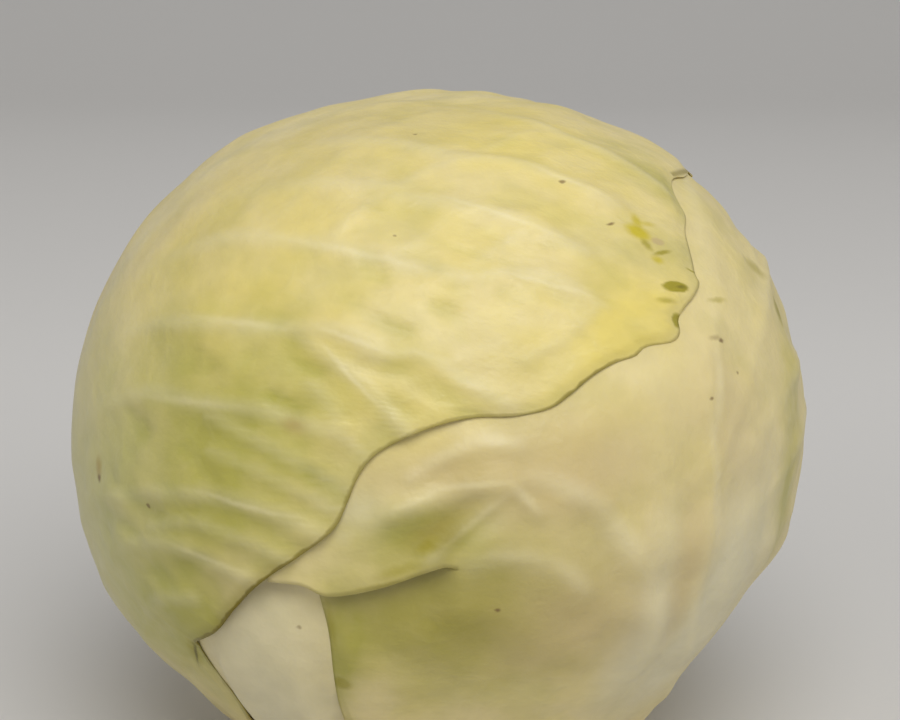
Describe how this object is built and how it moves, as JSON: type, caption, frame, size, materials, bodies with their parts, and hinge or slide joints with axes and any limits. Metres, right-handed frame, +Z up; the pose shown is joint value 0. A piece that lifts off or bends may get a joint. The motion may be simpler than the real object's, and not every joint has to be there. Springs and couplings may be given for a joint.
{
  "type": "white cabbage",
  "caption": "White cabbage head with six wrapper leaves lapped round a packed heart, resting on its trimmed stalk end.",
  "frame": {"origin": "centre of the flat spot at the base, on the cut face of the stalk", "axes": "+Z up through the stalk to the crown, -Y toward the front, +X to the right as seen from the front"},
  "size_m": [0.1999, 0.1982, 0.1843],
  "materials": {
    "stalk_flesh": "moist cut flesh, dried a little at the rim",
    "packed_leaves": "smooth waxy leaf",
    "inner_leaf": "smooth waxy leaf",
    "leaf_with_bare_rib": "smooth waxy leaf, white over its rib",
    "back_leaf": "waxy leaf with raised pale veins",
    "cream_leaf": "waxy leaf with raised pale veins",
    "yellow_green_leaf": "waxy leaf with raised pale veins"
  },
  "bodies": {
    "root": {"stalk": "stalk_flesh", "heart": "packed_leaves", "leaf_left_inner": "inner_leaf", "leaf_right_inner": "inner_leaf", "leaf_front": "leaf_with_bare_rib", "leaf_back": "back_leaf", "leaf_right_outer": "cream_leaf", "leaf_left_outer": "yellow_green_leaf"}
  },
  "joints": []
}
